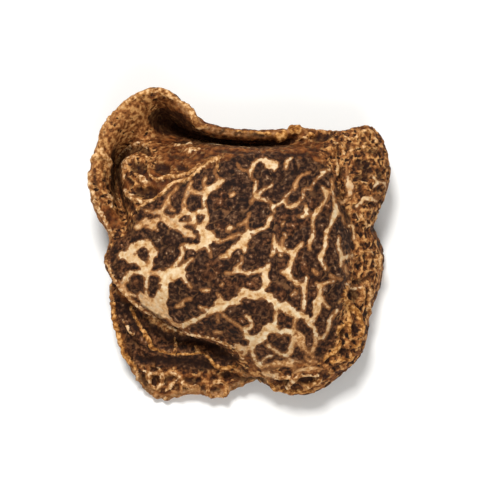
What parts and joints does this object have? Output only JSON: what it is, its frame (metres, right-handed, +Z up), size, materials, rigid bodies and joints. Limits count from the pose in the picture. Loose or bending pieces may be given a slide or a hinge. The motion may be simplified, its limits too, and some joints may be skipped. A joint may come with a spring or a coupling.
{
  "type": "dried truffle slice",
  "caption": "Thin dried slice of a truffle, arched and curled, with a marbled cut face, a folded upper edge with a raised ear, lobed margins and one corner doubled under.",
  "frame": {"origin": "centre of the bottom of the box round the slice, on the surface that it lies on", "axes": "+Z up from that surface, with the cut face looking up and a little towards -Y; +Y towards the folded upper edge; +X towards the lobed right margin"},
  "size_m": [0.0328, 0.0334, 0.0114],
  "materials": {
    "dried_truffle": "matte"
  },
  "bodies": {
    "root": {"truffle_slice": "dried_truffle"}
  },
  "joints": []
}
